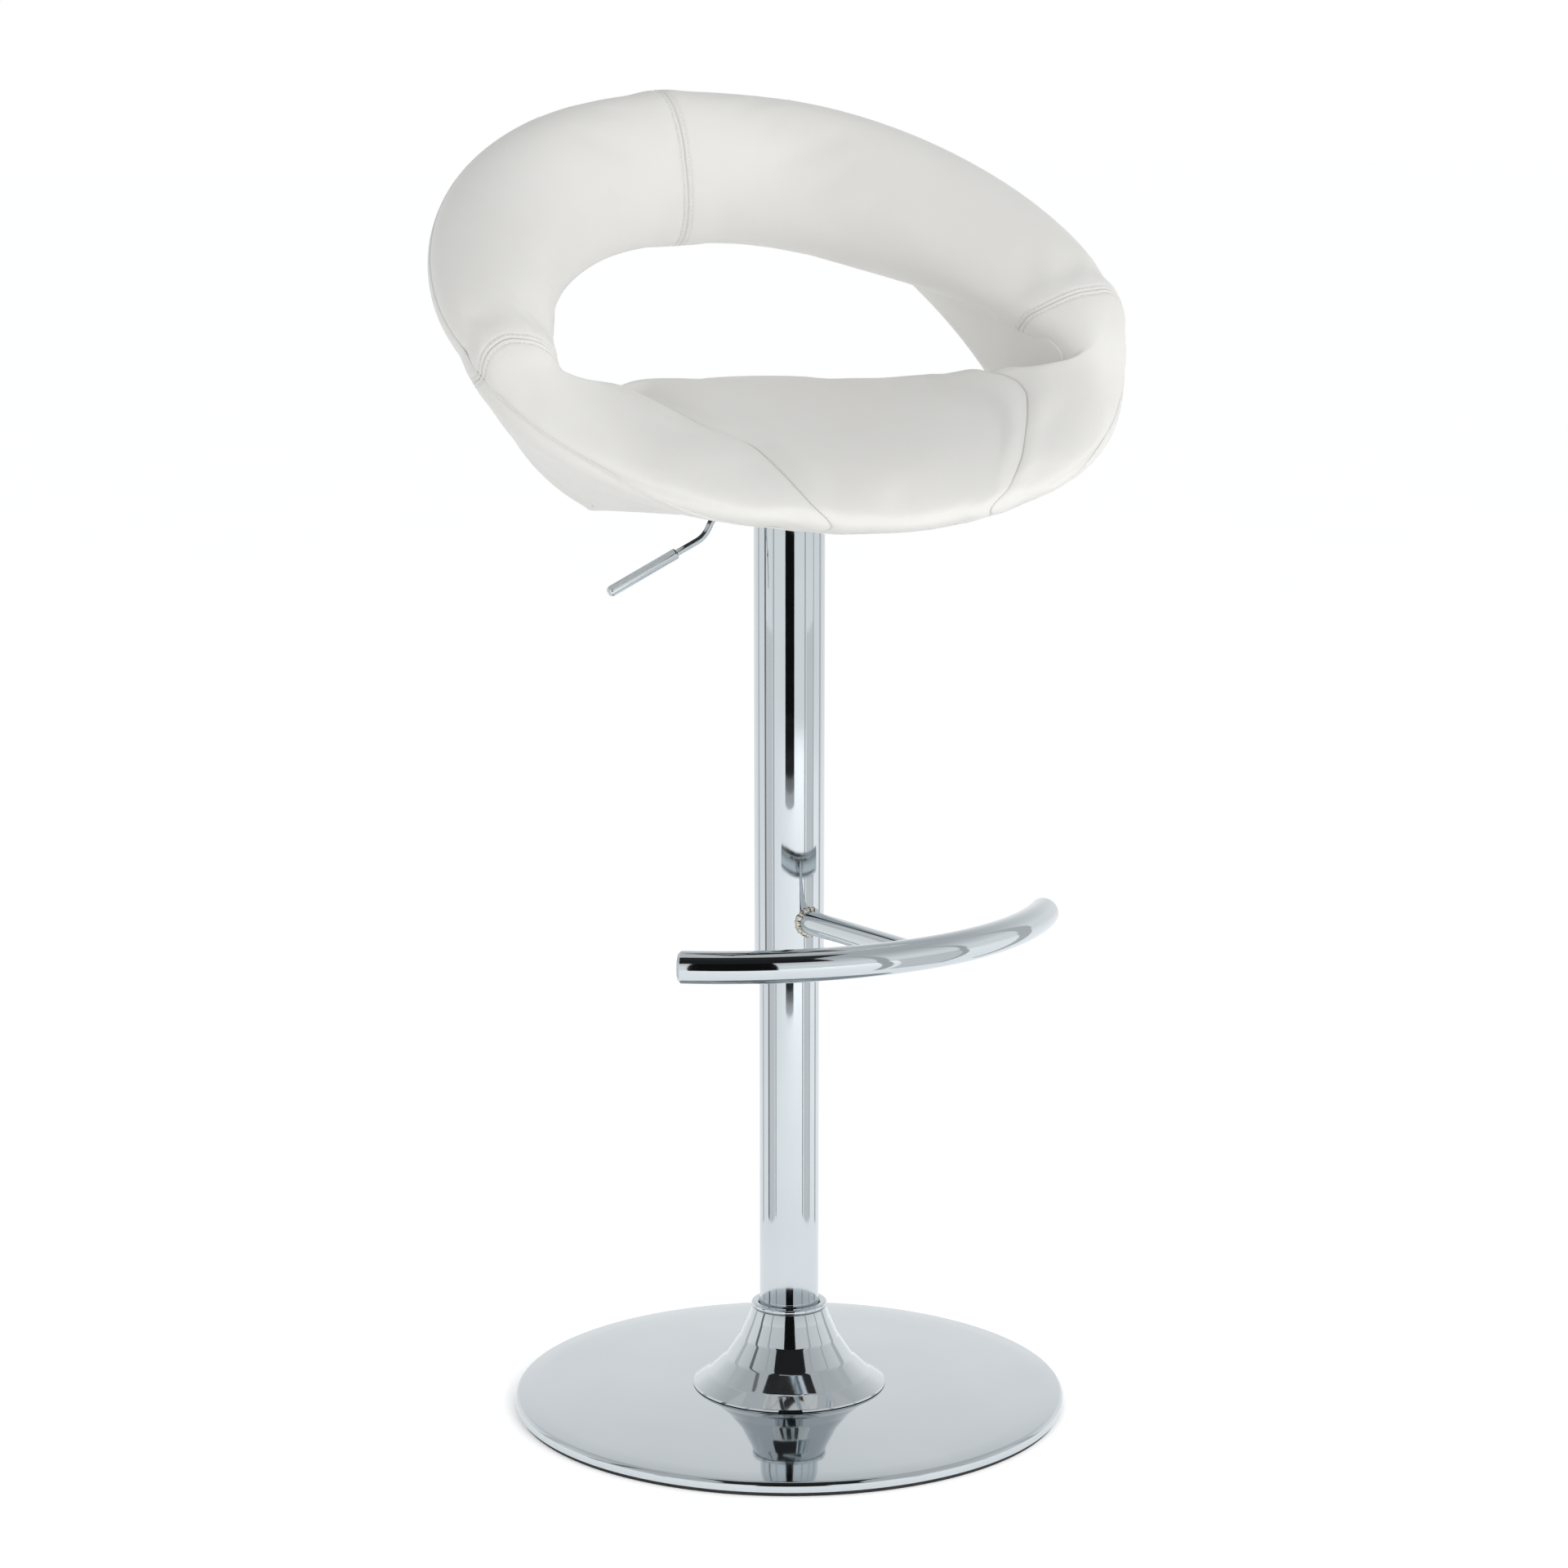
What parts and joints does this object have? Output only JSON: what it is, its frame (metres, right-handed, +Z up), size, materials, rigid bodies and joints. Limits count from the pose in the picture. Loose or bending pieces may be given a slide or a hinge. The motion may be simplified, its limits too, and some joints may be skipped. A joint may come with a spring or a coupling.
{
  "type": "adjustable swivel stool",
  "caption": "Height-adjustable swivel bar stool with a ring-shaped upholstered back, a gas-lift column, a curved footrest bar and a round weighted base.",
  "frame": {"origin": "on the floor, at the centre of the round base, on the column's axis", "axes": "+Z up along the column; a sitter faces -Y; the height lever is on -X; the footrest bar is turned 9 degrees from -Y towards +X"},
  "size_m": [0.5726, 0.4515, 1.0606],
  "materials": {
    "chrome": "polished",
    "steel": "satin",
    "black_steel": "satin",
    "cast_iron": "matte",
    "rubber": "matte",
    "black_plastic": "satin",
    "grey_plastic": "satin",
    "plywood": "matte",
    "white_upholstery": "satin"
  },
  "bodies": {
    "base": {"floor_pad": "rubber", "base_weight": "cast_iron", "base_disc": "chrome", "column_flange": "steel", "column_weld": "steel", "flange_bolt_1": "steel", "flange_bolt_2": "steel", "flange_bolt_3": "steel", "flange_bolt_4": "steel", "trumpet_cover": "chrome", "collar_ring": "chrome", "lower_tube": "chrome", "bearing_seat": "steel", "bearing_lower_race": "steel", "bearing_ball_cage": "grey_plastic", "guide_bush": "black_plastic"},
    "spindle": {"bearing_upper_race": "steel", "piston_rod": "steel", "retaining_clip": "steel", "gas_piston": "black_plastic"},
    "seat_carriage": {"gas_cylinder": "black_steel", "column_sleeve": "chrome", "sleeve_bush": "black_plastic", "sleeve_top_ring": "black_plastic", "footrest_bar": "chrome", "footrest_cap_right": "chrome", "footrest_cap_left": "chrome", "footrest_strut": "chrome", "strut_weld": "steel", "seat_bracket": "black_steel", "lever_pivot_pin": "steel", "bracket_bolt_1": "steel", "bracket_bolt_2": "steel", "bracket_bolt_3": "steel", "bracket_bolt_4": "steel", "back_hoop": "black_steel", "hoop_strap_right": "black_steel", "hoop_strap_left": "black_steel", "seat_board": "plywood", "seat_panel_cushion": "white_upholstery", "back_roll_left": "white_upholstery", "back_roll_right": "white_upholstery", "arm_roll_left": "white_upholstery", "arm_roll_right": "white_upholstery", "seat_lower_shell": "white_upholstery"},
    "height_lever": {"lever_rod": "chrome", "lever_grip": "chrome"},
    "gas_valve": {"valve_pin": "steel"}
  },
  "joints": [
    {"name": "seat_swivel", "type": "hinge", "parent": "base", "child": "spindle", "pos_m": [0, 0, 0.03], "axis": [0, 0, 1], "continuous": true},
    {"name": "height_lift", "type": "slide", "parent": "spindle", "child": "seat_carriage", "axis": [0, 0, 1], "range_m": [-0.215, 0]},
    {"name": "lever_pull", "type": "hinge", "parent": "seat_carriage", "child": "height_lever", "pos_m": [-0.022, 0, 0.733], "axis": [0, 1, 0], "range_deg": [0, 8], "stiffness_Nm_per_rad": 3, "springref_deg": -6.88},
    {"name": "valve_press", "type": "slide", "parent": "seat_carriage", "child": "gas_valve", "axis": [0, 0, -1], "range_m": [0, 0.0032]}
  ],
  "couplings": [
    {"joint": "valve_press", "follows": "lever_pull", "m_per_rad": 0.022}
  ]
}
